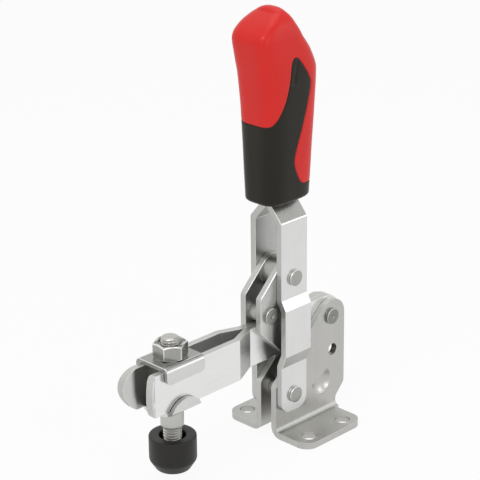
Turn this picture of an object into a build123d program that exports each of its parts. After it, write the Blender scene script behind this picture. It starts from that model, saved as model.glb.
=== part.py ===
"""Vertical toggle clamp with an open clamping arm and a horizontal base.

Frame: origin at the centre of the four base holes, on the underside of the base.
+X points along the clamping arm, +Y to the left side of the clamp, +Z up.
All sizes are in millimetres, and the clamp is drawn closed.
"""

import math
import os

from build123d import *

# Sheet metal and the three layers that the plates lie in, counted from the middle plane
sheet = 3.0
layer_gap = 0.1
arm_face = sheet
link_inner = arm_face + layer_gap
link_outer = link_inner + sheet
handle_inner = link_outer + layer_gap
handle_outer = handle_inner + sheet
bend_radius = 1.5

# Fits
press_clearance = 0.02
running_clearance = 0.05
thread_clearance = 0.15

# Base
base_length = 37.0
base_half_width = 25.0
base_hole_diameter = 7.0
base_hole_end_margin = 7.5
base_hole_side_margin = 6.0
base_hole_spacing_x = base_length - 2 * base_hole_end_margin
base_hole_spacing_y = 2 * (base_half_width - base_hole_side_margin)
base_corner_radius = 6.0
base_bend_radius = 2.0
base_front = base_length / 2
web_rear = -26.1
web_rear_low = 12.7
web_waist = -20.6
web_waist_height = 7.0
web_shoulder_height = 24.6
web_slope = 42.6
web_shoulder_radius = 3.0
web_lobe_radius = 8.0
side_hole = (-18.2, 31.1)
side_hole_diameter = 5.6
dimple_centre = (-11.0, 18.0)
dimple_radius = 6.1
dimple_chord_angle = -26.6
dimple_chord_offset = 2.5
dimple_depth = 2.2

# Pivots, as (x, z)
arm_pivot = (-17.3, 47.8)
handle_pivot = (10.0, 20.0)
handle_link_pivot = (10.0, 75.6)
link_arm_pivot = (10.0, 47.5)
stop_pin = (22.0, 60.4)

# Rivets
rivet_diameter = 5.0
rivet_head_diameter = 7.4
rivet_head_height = 1.4
rivet_edge = 0.25
rivet_dimple_diameter = 1.7
rivet_dimple_depth = 0.5
hidden_head_diameter = 6.0
hidden_head_height = 0.6
arm_bush_diameter = 8.0
link_bush_diameter = 6.6
base_tube_diameter = 8.0
link_tube_diameter = 15.2
stop_clearance = 0.1

# Handle plates
handle_width = 16.0
handle_end_radius = 5.5
handle_below_pivot = 8.0
bulge_rise = 2.5
bulge_start = 34.6
bulge_full_low = 40.7
bulge_full_high = 62.3
bulge_end = 66.6
flare_start = 101.9
flare_angle = 40.0
tang_top = 165.0

# Link plates
link_end_radius = 8.0
link_front = 27.7
link_corner_radius = 2.5
link_corner_high = 68.3
link_corner_low = 54.6

# Clamping arm
arm_top = 55.8
arm_bottom = 37.1
arm_rear_bottom = 38.3
arm_lobe_radius = 8.8
screw_gap = 8.5
joggle_start = 31.3
joggle_end = 41.7
tip_reach = 95.6
tip_bulge = 4.4
tip_bend = tip_reach - tip_bulge
tip_angle = 38.0
tip_corner_radius = 2.5

# Clamping screw set
screw_setback = 20.4
screw_x = tip_reach - screw_setback
screw_diameter = 8.0
screw_top = 66.8
screw_dome = 1.4
screw_head_diameter = 13.0
screw_head_bottom = 11.0
screw_head_top = 16.0
nut_across_flats = 13.0
nut_height = 6.5
nut_turn = 25.6
nut_chamfer = 0.9
saddle_sheet = 2.0
saddle_length = 21.4
saddle_drop = 7.2
saddle_bend = 0.3
saddle_clearance = 0.3
slide_gap = 0.05
washer_radius = 11.8
washer_sheet = 1.8
washer_ear_radius = 9.4
washer_ear_rise = 4.4
collar_diameter = 10.0
collar_bottom = 26.1
cap_diameter = 20.4
cap_top = 21.5
cap_shoulder = 10.6
cap_bottom = 6.0
cap_foot_diameter = 14.6
cap_recess_diameter = 11.4
cap_edge = 0.6

# Grip: sections as (height, front, rear, half width, corner radius)
grip_sections = (
    (110.5, 24.0, -1.9, 9.8, 4.5),
    (130.0, 24.6, -3.1, 10.6, 5.0),
    (150.0, 25.5, -4.5, 11.1, 5.0),
    (166.0, 27.3, -5.5, 11.2, 5.0),
    (175.0, 28.8, -1.9, 11.0, 5.0),
    (182.0, 29.2, 3.6, 10.7, 5.0),
    (188.0, 25.3, 7.7, 9.8, 4.0),
    (192.0, 19.0, 10.2, 7.7, 3.0),
    (194.6, 15.8, 11.8, 5.6, 1.5),
)
grip_shoulder = 5
grip_foot_steps = ((1.5, 0.0), (0.45, 0.75), (0.0, 2.1))
grip_crown_radius = 1.0
grip_hollow_sections = (
    (112.5, 22.4, -0.8, 6.8, 4.0),
    (177.0, 26.4, 1.4, 8.9, 4.0),
)
tang_clearance = 0.1

# Outline of the soft cover, as (x, z) on the side of the grip from its front edge to its rear edge
cover_outline = (
    (22.7, 146.5),
    (20.1, 150.0),
    (17.1, 155.4),
    (15.9, 159.1),
    (14.2, 164.7),
    (13.6, 170.6),
    (10.8, 174.2),
    (7.9, 172.0),
    (1.9, 163.5),
    (1.4, 160.4),
    (4.4, 149.9),
    (7.4, 141.1),
    (11.2, 130.7),
    (11.5, 126.7),
    (7.8, 119.5),
    (6.0, 117.6),
    (2.7, 117.2),
)

# Faces worked out from the sizes above
arm_outer = screw_gap / 2 + sheet
saddle_top = arm_top + slide_gap + saddle_sheet
washer_low = arm_bottom - slide_gap - washer_sheet


def side_plate(outline: Sketch, inner: float, outer: float) -> Part:
    """Turn an outline drawn in x and z into a left-hand plate between two y values."""
    return Pos(0, outer, 0) * Rot(90, 0, 0) * extrude(outline, outer - inner)


def through_side(outline: Sketch, half_width: float) -> Part:
    """Extrude an outline drawn in x and z equally to both sides of the middle plane."""
    return side_plate(outline, -half_width, half_width)


def disc(centre: tuple[float, float], radius: float) -> Sketch:
    """A filled circle at a point of the side view."""
    return Pos(centre[0], centre[1]) * Circle(radius)


def side_bore(centre: tuple[float, float], diameter: float) -> Part:
    """A cutter along y through both sides of the clamp."""
    return through_side(disc(centre, diameter / 2), base_half_width)


def side_pin(centre: tuple[float, float], diameter: float, start: float, end: float) -> Part:
    """A round pin along y between two y values."""
    return side_plate(disc(centre, diameter / 2), start, end)


def tube(centre: tuple[float, float], outer: float, inner: float, half_length: float) -> Part:
    """A tube along y, centred on the middle plane."""
    ring = disc(centre, outer / 2) - disc(centre, inner / 2)
    return through_side(ring, half_length)


def rivet_head(
    centre: tuple[float, float], start: float, diameter: float, height: float, dimple: bool
) -> Part:
    """A flat rivet head on the left side, with a softened rim and a punched centre if asked for."""
    head = side_pin(centre, diameter, start, start + height)
    rim = head.faces().sort_by(Axis.Y)[-1].edges()
    head = chamfer(rim, rivet_edge)
    if dimple:
        depth = start + height - rivet_dimple_depth
        head -= side_pin(centre, rivet_dimple_diameter, depth, start + height)
    return head


def through_rivet(centre: tuple[float, float], face: float, dimple: bool) -> Part:
    """A rivet through the whole stack of plates, with a head on each side."""
    shank = side_pin(centre, rivet_diameter, -face, face)
    head = rivet_head(centre, face, rivet_head_diameter, rivet_head_height, dimple)
    return shank + head + mirror(head, Plane.XZ)


def bent_strip(path: list[tuple[float, float]], thickness: float, side: Side, radius: float) -> Sketch:
    """The section of a bent sheet: one face follows the path and the thickness lies to one side."""
    line = FilletPolyline(*path, radius=radius)
    return make_face(offset(line, thickness, side=side, kind=Kind.INTERSECTION))


def upright(diameter: float, low: float, high: float) -> Part:
    """A cylinder about the z axis between two heights."""
    return Pos(0, 0, low) * extrude(Circle(diameter / 2), high - low)


# Base


def base_web_outline() -> Sketch:
    """Side view of the upright web, with the sloped front shoulder and the lobe round the arm pivot."""
    slope_rise = (base_front - web_rear) * math.tan(math.radians(web_slope))
    corners = [
        (base_front, 0),
        (base_front, web_shoulder_height),
        (web_rear, web_shoulder_height + slope_rise),
        (web_rear, web_rear_low),
        (web_waist, web_waist_height),
        (web_waist, 0),
    ]
    outline = make_face(Polyline(*corners, close=True))
    lobe = outline.vertices().sort_by_distance((*corners[2], 0))[0]
    outline = fillet(lobe, web_lobe_radius)
    shoulder = outline.vertices().sort_by_distance((*corners[1], 0))[0]
    outline = fillet(shoulder, web_shoulder_radius)
    waist = [outline.vertices().sort_by_distance((*corner, 0))[0] for corner in corners[3:5]]
    return fillet(waist, web_shoulder_radius)


def flange_outline() -> Sketch:
    """Plan view of the foot: a tongue with two round corners, and room for the web beside it."""
    foot = Pos(0, base_half_width / 2) * Rectangle(base_length, base_half_width)
    outer = foot.vertices().group_by(Axis.Y)[-1]
    foot = fillet(outer, base_corner_radius)
    bend_depth = link_outer + base_bend_radius
    web_room = Pos((web_rear + base_front) / 2, bend_depth / 2) * Rectangle(base_front - web_rear, bend_depth)
    return foot + web_room


def base_dimple() -> tuple[Part, Part]:
    """The half-moon pressed into the web: the boss on its inner face and the dish in its outer face.

    Both are the same cap of a sphere, cut off straight along its upper side where the sheet is sheared.
    """
    dish_radius = (dimple_radius**2 + dimple_depth**2) / (2 * dimple_depth)
    below_chord = Pos(0, dimple_chord_offset - dish_radius, 0) * Box(
        2 * dish_radius, 2 * dish_radius, 4 * dish_radius
    )
    cap = (Sphere(dish_radius) & below_chord).moved(Rot(0, 0, dimple_chord_angle))
    cap = Rot(90, 0, 0) * cap
    dish = Pos(dimple_centre[0], link_outer - dimple_depth + dish_radius, dimple_centre[1]) * cap
    inner_side = Box(2 * base_length, 2 * link_inner, 2 * base_length)
    return dish.moved(Pos(0, -sheet, 0)) & inner_side, dish


def base_plate() -> Part:
    """Left base plate: an angle of sheet steel with two mounting holes in its foot."""
    top = web_shoulder_height + base_length * 2
    path = [(link_inner, top), (link_inner, 0), (base_half_width, 0)]
    profile = Plane.YZ * bent_strip(path, sheet, Side.LEFT, base_bend_radius + sheet)
    angle = Pos(web_rear, 0, 0) * extrude(profile, base_front - web_rear)
    flange = extrude(flange_outline(), top)
    web = side_plate(base_web_outline(), 0, link_outer + base_bend_radius)
    foot_zone = Pos(0, (link_outer + base_half_width) / 2, 0) * Box(
        base_length, base_half_width - link_outer, 2 * (sheet + base_bend_radius)
    )
    plate = angle & flange & (web + foot_zone)
    for x in (-base_hole_spacing_x / 2, base_hole_spacing_x / 2):
        plate -= Pos(x, base_hole_spacing_y / 2, 0) * Cylinder(base_hole_diameter / 2, 3 * sheet)
    boss, dish = base_dimple()
    plate = plate + boss - dish
    plate -= side_bore(side_hole, side_hole_diameter)
    plate -= side_bore(arm_pivot, rivet_diameter + 2 * press_clearance)
    plate -= side_bore(handle_pivot, rivet_diameter + 2 * running_clearance)
    return plate


def arm_pivot_rivet() -> Part:
    """The rivet that joins both base plates at the rear and carries the arm."""
    return through_rivet(arm_pivot, link_outer, True)


def arm_pivot_bush() -> Part:
    """The bush between the base plates that the arm turns on."""
    bore = rivet_diameter + 2 * press_clearance
    return tube(arm_pivot, arm_bush_diameter, bore, link_inner - press_clearance)


def base_spacer() -> Part:
    """The tube that holds the base plates apart at the handle pivot."""
    bore = rivet_diameter + 2 * running_clearance
    return tube(handle_pivot, base_tube_diameter, bore, link_inner - press_clearance)


# Handle


def handle_path() -> list[tuple[float, float]]:
    """The outer face of the left handle plate in y and z, from its foot to its tang."""
    flare_rise = (handle_outer - sheet) / math.tan(math.radians(flare_angle))
    return [
        (handle_outer, handle_pivot[1] - handle_below_pivot),
        (handle_outer, bulge_start),
        (handle_outer + bulge_rise, bulge_full_low),
        (handle_outer + bulge_rise, bulge_full_high),
        (handle_outer, bulge_end),
        (handle_outer, flare_start),
        (sheet, flare_start + flare_rise),
        (sheet, tang_top),
    ]


def handle_plate() -> Part:
    """Left handle plate: a strip that bulges over the rivet heads and closes to a tang."""
    profile = Plane.YZ * bent_strip(handle_path(), sheet, Side.LEFT, bend_radius)
    strip = Pos(handle_pivot[0] - handle_width / 2, 0, 0) * extrude(profile, handle_width)
    low = handle_pivot[1] - handle_below_pivot
    height = tang_top - low
    blank = Pos(handle_pivot[0], low + height / 2) * Rectangle(handle_width, height)
    blank = fillet(blank.vertices().group_by(Axis.Y)[0], handle_end_radius)
    blank = fillet(blank.vertices().group_by(Axis.Y)[-1], handle_end_radius)
    plate = strip & side_plate(blank, 0, handle_outer + bulge_rise)
    plate -= side_bore(handle_pivot, rivet_diameter + 2 * press_clearance)
    plate -= side_bore(handle_link_pivot, rivet_diameter + 2 * press_clearance)
    return plate


def handle_pivot_rivet() -> Part:
    """The rivet at the foot of the handle, which turns in the base plates."""
    return through_rivet(handle_pivot, handle_outer, False)


def handle_link_rivet() -> Part:
    """The outer end of the rivet that joins the left handle plate to the link."""
    shank = side_pin(handle_link_pivot, rivet_diameter, handle_inner, handle_outer)
    return shank + rivet_head(handle_link_pivot, handle_outer, rivet_head_diameter, rivet_head_height, False)


# Link


def link_plate() -> Part:
    """Left link plate: one outline round both pivots and the two front corners."""
    corner_x = link_front - link_corner_radius
    rounds = [
        disc(handle_link_pivot, link_end_radius),
        disc(link_arm_pivot, link_end_radius),
        disc((corner_x, link_corner_high), link_corner_radius),
        disc((corner_x, link_corner_low), link_corner_radius),
    ]
    outline = make_hull([edge for part in rounds for edge in part.edges()])
    plate = side_plate(outline, link_inner, link_outer)
    for pivot in (handle_link_pivot, link_arm_pivot, stop_pin):
        plate -= side_bore(pivot, rivet_diameter + 2 * press_clearance)
    return plate


def link_top_pin() -> Part:
    """The middle length of the rivet between handle and link, which stays with the link."""
    return side_pin(handle_link_pivot, rivet_diameter, -link_outer, link_outer)


def link_top_spacer() -> Part:
    """The wide tube that holds the link plates apart at the handle."""
    bore = rivet_diameter + 2 * press_clearance
    return tube(handle_link_pivot, link_tube_diameter, bore, link_inner - press_clearance)


def stop_rivet() -> Part:
    """The rivet that carries the stop tube through the link plates."""
    return through_rivet(stop_pin, link_outer, True)


def arm_edge(x: float) -> float:
    """Height of the arm's upper edge, which rises a little from the joggle to the lobe at the pivot."""
    lobe_rise = arm_pivot[1] + arm_lobe_radius - arm_top
    return arm_top + lobe_rise * (joggle_end - x) / (joggle_end - arm_pivot[0])


def stop_tube() -> Part:
    """The tube that meets the top edge of the arm when the clamp is closed."""
    radius = stop_pin[1] - arm_edge(stop_pin[0]) - stop_clearance
    return tube(stop_pin, 2 * radius, rivet_diameter + 2 * press_clearance, link_inner - press_clearance)


def link_arm_rivet() -> Part:
    """The left end of the rivet between link and arm, with a low head under the handle bulge."""
    shank = side_pin(link_arm_pivot, rivet_diameter, link_inner, link_outer)
    return shank + rivet_head(link_arm_pivot, link_outer, hidden_head_diameter, hidden_head_height, False)


# Clamping arm


def arm_outline() -> Sketch:
    """Side view of an arm plate: lobe at the pivot, stepped lower edge and a rounded tip."""
    middle = (arm_top + arm_bottom) / 2
    half = (arm_top - arm_bottom) / 2
    lobe = disc(arm_pivot, arm_lobe_radius)
    rear = make_face(
        Polyline(
            (arm_pivot[0], arm_edge(arm_pivot[0])),
            (arm_pivot[0], arm_pivot[1] - arm_lobe_radius),
            (link_arm_pivot[0], arm_rear_bottom),
            (joggle_start, arm_rear_bottom),
            (joggle_end, arm_bottom),
            (tip_reach, arm_bottom),
            (tip_reach, arm_top),
            (joggle_end, arm_top),
            close=True,
        )
    )
    tip_radius = (half**2 + tip_bulge**2) / (2 * tip_bulge)
    tip = disc((tip_reach - tip_radius, middle), tip_radius)
    keep = tip + Pos((tip_bend + arm_pivot[0]) / 2, middle) * Rectangle(tip_bend - arm_pivot[0], 4 * half)
    body = rear & keep
    corners = body.vertices().group_by(Axis.X)[-2:]
    corners = [v for group in corners for v in group if abs(v.Y - middle) > half / 2]
    body = fillet(corners, tip_corner_radius) if corners else body
    return body + lobe


def arm_plate() -> Part:
    """Left arm plate: flat behind the joggle, spread in front of it and splayed at the tip."""
    path = [
        (arm_pivot[0] - 2 * arm_lobe_radius, arm_face),
        (joggle_start, arm_face),
        (joggle_end, arm_outer),
        (tip_bend, arm_outer),
        (tip_reach + sheet, arm_outer + (tip_reach + sheet - tip_bend) * math.tan(math.radians(tip_angle))),
    ]
    strip = extrude(bent_strip(path, sheet, Side.RIGHT, bend_radius), 2 * arm_top)
    plate = strip & side_plate(arm_outline(), -sheet, arm_outer + 4 * sheet)
    plate -= side_bore(arm_pivot, arm_bush_diameter + 2 * running_clearance)
    plate -= side_bore(link_arm_pivot, link_bush_diameter + 2 * press_clearance)
    return plate


def link_arm_bush() -> Part:
    """The middle length of the pivot between link and arm, pressed into the arm plates."""
    return side_pin(link_arm_pivot, link_bush_diameter, -arm_face, arm_face)


# Clamping screw set


def hexagon(across_flats: float) -> Sketch:
    """A hexagon with one pair of flats turned as the nut stands on the clamp."""
    return Rot(0, 0, nut_turn) * RegularPolygon(across_flats / math.sqrt(3), 6)


def saddle() -> Part:
    """The channel-shaped washer that rides on top of both arm plates."""
    half = arm_outer + saddle_clearance + saddle_sheet
    top = saddle_top
    path = [(-half, top - saddle_drop), (-half, top), (half, top), (half, top - saddle_drop)]
    profile = Plane.YZ * bent_strip(path, saddle_sheet, Side.RIGHT, saddle_sheet + saddle_bend)
    channel = Pos(screw_x - saddle_length / 2, 0, 0) * extrude(profile, saddle_length)
    skirt_corners = channel.edges().filter_by(Axis.Y).group_by(Axis.Z)[0]
    channel = fillet(skirt_corners, saddle_sheet)
    return channel - Pos(screw_x, 0, top) * Cylinder(screw_diameter / 2 + thread_clearance, 3 * saddle_sheet)


def ear_washer() -> Part:
    """The round washer under the arm, with two segments bent up beside the arm plates."""
    half = arm_outer + saddle_clearance + washer_sheet
    low = washer_low
    high = arm_bottom + washer_ear_rise
    path = [(-half, high), (-half, low), (half, low), (half, high)]
    profile = Plane.YZ * bent_strip(path, washer_sheet, Side.LEFT, washer_sheet + saddle_bend)
    channel = Pos(screw_x - washer_radius, 0, 0) * extrude(profile, 2 * washer_radius)
    round_plan = Pos(screw_x, 0, low) * extrude(Circle(washer_radius), 2 * (high - low))
    ears = through_side(disc((screw_x, high - washer_ear_radius), washer_ear_radius), 2 * half)
    flat_zone = Pos(screw_x, 0, low + washer_sheet / 2) * Box(
        2 * washer_radius, 2 * arm_outer, washer_sheet
    )
    washer = (channel & flat_zone & round_plan) + (channel & ears)
    return washer - Pos(screw_x, 0, low) * Cylinder(screw_diameter / 2 + thread_clearance, 4 * washer_sheet)


def clamp_nut() -> Part:
    """The hexagon nut on top of the saddle, chamfered at both ends."""
    low = saddle_top
    blank = Pos(screw_x, 0, low) * extrude(hexagon(nut_across_flats), nut_height)
    corner_radius = nut_across_flats / math.sqrt(3)
    rounding = Cylinder(corner_radius, nut_height, align=(Align.CENTER, Align.CENTER, Align.MIN))
    rounding = chamfer(rounding.edges().filter_by(GeomType.CIRCLE), nut_chamfer / 2, nut_chamfer)
    nut = blank & Pos(screw_x, 0, low) * rounding
    bore = Pos(screw_x, 0, low + nut_height / 2) * Cylinder(
        screw_diameter / 2 + running_clearance, 2 * nut_height
    )
    sink = Pos(screw_x, 0, low + nut_height - nut_chamfer / 2) * Cone(
        screw_diameter / 2, screw_diameter / 2 + nut_chamfer, nut_chamfer
    )
    return nut - bore - sink


def collar() -> Part:
    """The round threaded collar that tightens against the lower washer."""
    ring = Circle(collar_diameter / 2) - Circle(screw_diameter / 2 + running_clearance)
    return Pos(screw_x, 0, collar_bottom) * extrude(ring, washer_low - collar_bottom)


def clamp_screw() -> Part:
    """The clamping screw: shank with a domed end above and a round head inside the cap."""
    shank = upright(screw_diameter, screw_head_bottom, screw_top)
    shank = fillet(shank.edges().filter_by(GeomType.CIRCLE).sort_by(Axis.Z)[-1], screw_dome)
    return Pos(screw_x, 0, 0) * (shank + upright(screw_head_diameter, screw_head_bottom, screw_head_top))


def pressure_cap() -> Part:
    """The elastic cap pressed over the head of the screw."""
    top = cap_diameter / 2
    foot = cap_foot_diameter / 2
    outline = [(0, cap_bottom), (foot, cap_bottom), (top, cap_shoulder), (top, cap_top), (0, cap_top)]
    body = revolve(Plane.XZ * make_face(Polyline(*outline, close=True)), Axis.Z)
    rim = body.edges().filter_by(GeomType.CIRCLE)
    body = fillet([rim.sort_by(Axis.Z)[0], rim.sort_by(Axis.Z)[-1]], cap_edge)
    recess = upright(cap_recess_diameter, screw_head_top, cap_top)
    seat = upright(screw_head_diameter + 2 * press_clearance, screw_head_bottom, screw_head_top)
    return Pos(screw_x, 0, 0) * (body - recess - seat)


# Grip


def grip_section(section: tuple[float, float, float, float, float], inset: float, lift: float) -> Sketch:
    """One level section of the grip, a rounded rectangle moved inwards by the inset."""
    height, front, rear, half_width, corner = section
    plan = RectangleRounded(front - rear - 2 * inset, 2 * (half_width - inset), corner - inset / 2)
    return Pos((front + rear) / 2, 0, height + lift) * plan


def grip_form() -> Part:
    """The outer form of the grip: a foot rolled under, a smooth body, and a head of flat slopes."""
    foot = [grip_section(grip_sections[0], inset, lift) for inset, lift in grip_foot_steps]
    levels = [grip_section(section, 0, 0) for section in grip_sections]
    body = loft(foot[-1:] + levels[1:grip_shoulder])
    head = loft(levels[grip_shoulder - 1 :], ruled=True)
    head = fillet(head.faces().sort_by(Axis.Z)[-1].edges(), grip_crown_radius)
    return loft(foot, ruled=True) + body + head


def grip_hollow() -> Part:
    """The tapered form inside the grip that the soft cover is moulded on."""
    return loft([grip_section(section, 0, 0) for section in grip_hollow_sections])


def cover_zone() -> Part:
    """The part of the grip that the soft cover takes: the lower front and a tongue up each side."""
    far = 2 * base_half_width
    front = (far, cover_outline[0][1])
    rear = (-far, cover_outline[-1][1])
    around = [rear, (-far, 0), (far, 0), front]
    return through_side(make_face(Polyline(*cover_outline, *around, close=True)), far)


def tang_room() -> Part:
    """The slot in the grip that both handle tangs fill."""
    width = handle_width + 2 * tang_clearance
    depth = 2 * sheet + 2 * tang_clearance
    slot = Pos(handle_pivot[0], 0, 0) * Box(
        width, depth, tang_top + tang_clearance, align=(Align.CENTER, Align.CENTER, Align.MIN)
    )
    return slot


def grip_parts() -> tuple[Part, Part]:
    """The hard core and the soft cover of the grip."""
    form = grip_form()
    cover = (form - grip_hollow()) & cover_zone()
    core = form - cover
    return core - tang_room(), cover - tang_room()


# Assembly


def both_sides(name: str, solid: Part) -> dict[str, Part]:
    """The left piece and its mirror image, under matching names."""
    return {f"{name}_left": solid, f"{name}_right": mirror(solid, Plane.XZ)}


def build() -> dict[str, Part]:
    """Every piece of the clamp under its node name."""
    core, cover = grip_parts()
    return {
        **both_sides("base_plate", base_plate()),
        "arm_pivot_rivet": arm_pivot_rivet(),
        "arm_pivot_bush": arm_pivot_bush(),
        "base_spacer_tube": base_spacer(),
        **both_sides("handle_plate", handle_plate()),
        "handle_pivot_rivet": handle_pivot_rivet(),
        **both_sides("handle_link_rivet", handle_link_rivet()),
        "grip_core": core,
        "grip_cover": cover,
        **both_sides("link_plate", link_plate()),
        "link_top_pin": link_top_pin(),
        "link_top_spacer": link_top_spacer(),
        "stop_rivet": stop_rivet(),
        "stop_tube": stop_tube(),
        **both_sides("link_arm_rivet", link_arm_rivet()),
        **both_sides("arm_plate", arm_plate()),
        "link_arm_bush": link_arm_bush(),
        "saddle_washer": saddle(),
        "ear_washer": ear_washer(),
        "clamp_nut": clamp_nut(),
        "screw_collar": collar(),
        "clamp_screw": clamp_screw(),
        "pressure_cap": pressure_cap(),
    }


if __name__ == "__main__":
    os.makedirs("parts", exist_ok=True)
    for node, solid in build().items():
        export_step(solid, f"parts/{node}.step")
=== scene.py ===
"""Looks of a vertical toggle clamp, made over its solids.

Frame: metres, origin at the centre of the four base holes on the underside of the base,
+X along the clamping arm, +Y to the left side of the clamp, +Z up. Sizes in the classes
are in millimetres and are turned into metres where a mesh is made.
"""

from __future__ import annotations

import logging
import math
from dataclasses import dataclass, field
from enum import Enum

import bmesh
import bpy
import numpy as np
from mathutils import Matrix, Vector

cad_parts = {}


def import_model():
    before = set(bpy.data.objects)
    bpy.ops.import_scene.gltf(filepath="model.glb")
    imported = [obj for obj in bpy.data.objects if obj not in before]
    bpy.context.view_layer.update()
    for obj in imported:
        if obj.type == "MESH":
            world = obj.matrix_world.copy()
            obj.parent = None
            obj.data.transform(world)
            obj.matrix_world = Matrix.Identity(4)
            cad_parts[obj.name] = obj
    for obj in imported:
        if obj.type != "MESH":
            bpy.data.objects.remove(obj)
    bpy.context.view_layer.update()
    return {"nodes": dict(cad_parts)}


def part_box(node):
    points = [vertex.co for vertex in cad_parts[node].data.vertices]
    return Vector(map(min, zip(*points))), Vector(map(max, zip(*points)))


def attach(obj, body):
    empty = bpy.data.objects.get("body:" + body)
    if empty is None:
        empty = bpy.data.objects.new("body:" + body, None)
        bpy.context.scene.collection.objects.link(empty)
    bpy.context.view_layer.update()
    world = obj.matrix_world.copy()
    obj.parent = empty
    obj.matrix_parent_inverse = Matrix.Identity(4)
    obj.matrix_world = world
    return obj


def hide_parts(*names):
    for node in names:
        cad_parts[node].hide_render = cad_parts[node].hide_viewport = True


log = logging.getLogger("toggle_clamp")

Pair = tuple[float, float]
Triple = tuple[float, float, float]

MM = 0.001
# Edges, corners and rims are mixed towards this pale colour: worn polish and a painted highlight
EDGE_POLISH_HIGHLIGHT_MASK = "edge_polish_and_highlight"
POLISH_AND_HIGHLIGHT = (0.95, 0.95, 0.94, 1.0)
WHITE = (1.0, 1.0, 1.0, 1.0)

# Turns between faces: merged up to flat, shaded smooth up to soft, rolled over past sharp.
# The corner of a turned profile is polished past rim.
FLAT_TURN = math.radians(0.6)
SOFT_TURN = math.radians(28)
SHARP_TURN = math.radians(32)
RIM_TURN = math.radians(14)

# Lengths in metres: points closer than these are merged, and shorter edges removed
DOUBLE_POINT = 1e-7
DOUBLE_SOLID_POINT = 2e-6
EMPTY_EDGE = 1e-8

# Least values that are divided by: a half width, a length, and a squared slope over a grid
LEAST_WIDTH = 1e-9
LEAST_LENGTH = 1e-12
LEAST_SLOPE = 1e-6


class Body(Enum):
    """The bodies of the linkage, by their names in the frame."""

    BASE = "base"
    HANDLE = "handle"
    LINK = "link"
    ARM = "arm"
    SCREW_SET = "screw_set"
    SCREW = "screw"


class Slot(Enum):
    """The names of the material slots."""

    SHEET = "plated_steel"
    RIVET = "rivet_steel"
    SCREW = "screw_steel"
    GRIP = "grip_red"
    COVER = "grip_black"
    CAP = "cap_rubber"


class Axis(Enum):
    """The direction that a turned piece is turned about."""

    Y = "y"
    Z = "z"


# Surfaces


def wrap_faces(rows: int, columns: int) -> np.ndarray:
    """Quads of a grid that closes on itself along its columns.

    Args:
        rows: Number of grid rows.
        columns: Number of grid columns, of which the last joins the first.

    Returns:
        Face corners, four a row, turned so that they face outwards when the rows climb and
        the columns run anticlockwise seen from above.
    """
    low = np.arange(rows - 1)[:, None] * columns
    col = np.arange(columns)[None, :]
    nxt = (col + 1) % columns
    high = low + columns
    return np.stack([low + col, low + nxt, high + nxt, high + col], axis=-1).reshape(-1, 4)


def closed_lathe_faces(rows: int, columns: int) -> np.ndarray:
    """Quads of a grid that closes on itself both ways, such as a ring with a closed profile.

    Args:
        rows: Number of grid rows, of which the last joins the first.
        columns: Number of grid columns, of which the last joins the first.

    Returns:
        Face corners, four a row, turned as in wrap_faces().
    """
    last = (rows - 1) * columns
    col = np.arange(columns)
    nxt = (col + 1) % columns
    seam = np.stack([last + col, last + nxt, nxt, col], axis=-1)
    return np.concatenate([wrap_faces(rows, columns), seam])


def tidy_mesh(mesh: bpy.types.Mesh) -> None:
    """Merge doubled points, as at a pole, drop empty faces and turn every face outwards.

    Args:
        mesh: The mesh of a new piece.
    """
    work = bmesh.new()
    work.from_mesh(mesh)
    bmesh.ops.remove_doubles(work, verts=work.verts, dist=DOUBLE_POINT)
    bmesh.ops.dissolve_degenerate(work, edges=work.edges, dist=EMPTY_EDGE)
    bmesh.ops.recalc_face_normals(work, faces=work.faces)
    work.to_mesh(mesh)
    work.free()
    mesh.update()


def make_mesh(name: str, points: np.ndarray, faces: np.ndarray, merge: bool = True) -> bpy.types.Object:
    """Put points in millimetres and faces into a new mesh object in metres.

    Args:
        name: Name of the piece.
        points: Array of x, y and z, in millimetres.
        faces: Array of face corners.
        merge: Whether doubled points, as at a pole, are merged and empty faces removed.

    Returns:
        The object, smooth shaded, at the origin.
    """
    mesh = bpy.data.meshes.new(name)
    mesh.from_pydata((points.reshape(-1, 3) * MM).tolist(), [], faces.tolist())
    mesh.polygons.foreach_set("use_smooth", np.ones(len(mesh.polygons), bool))
    if merge:
        tidy_mesh(mesh)
    mesh.update()
    obj = bpy.data.objects.new(name, mesh)
    bpy.context.scene.collection.objects.link(obj)
    return obj


def face_normals(mesh: bpy.types.Mesh) -> np.ndarray:
    """Read the normals of a mesh's faces.

    Args:
        mesh: The mesh.

    Returns:
        The normals, one a row.
    """
    normals = np.zeros(len(mesh.polygons) * 3)
    mesh.polygons.foreach_get("normal", normals)
    return normals.reshape(-1, 3)


def radius_of(node: str) -> float:
    """The outer radius of a turned node in millimetres, from the width of its box."""
    low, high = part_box(node)
    return (high.x - low.x) / MM / 2


def rounded(profile: list[Pair], radius: float, steps: int = 4, most: float = 0.45) -> np.ndarray:
    """Round the inner corners of an open profile.

    Each corner is replaced by the quadratic curve (1-t)^2 a + 2t(1-t) c + t^2 b, where c is
    the corner and a and b lie on its two runs at the radius, or nearer on a short run.

    Args:
        profile: Points of the profile.
        radius: Distance from the corner at which the curve begins.
        steps: Number of points along each curve.
        most: Largest share of a run that one curve takes.

    Returns:
        The rounded profile.
    """
    pts = np.asarray(profile, float)
    before = pts[:-2] - pts[1:-1]
    after = pts[2:] - pts[1:-1]
    len_before = np.linalg.norm(before, axis=1, keepdims=True)
    len_after = np.linalg.norm(after, axis=1, keepdims=True)
    start = pts[1:-1] + before / len_before * np.minimum(radius, len_before * most)
    end = pts[1:-1] + after / len_after * np.minimum(radius, len_after * most)
    t = np.linspace(0, 1, steps)[None, :, None]
    curve = (1 - t) ** 2 * start[:, None] + 2 * t * (1 - t) * pts[1:-1][:, None] + t**2 * end[:, None]
    return np.concatenate([pts[:1], curve.reshape(-1, 2), pts[-1:]])


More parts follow.
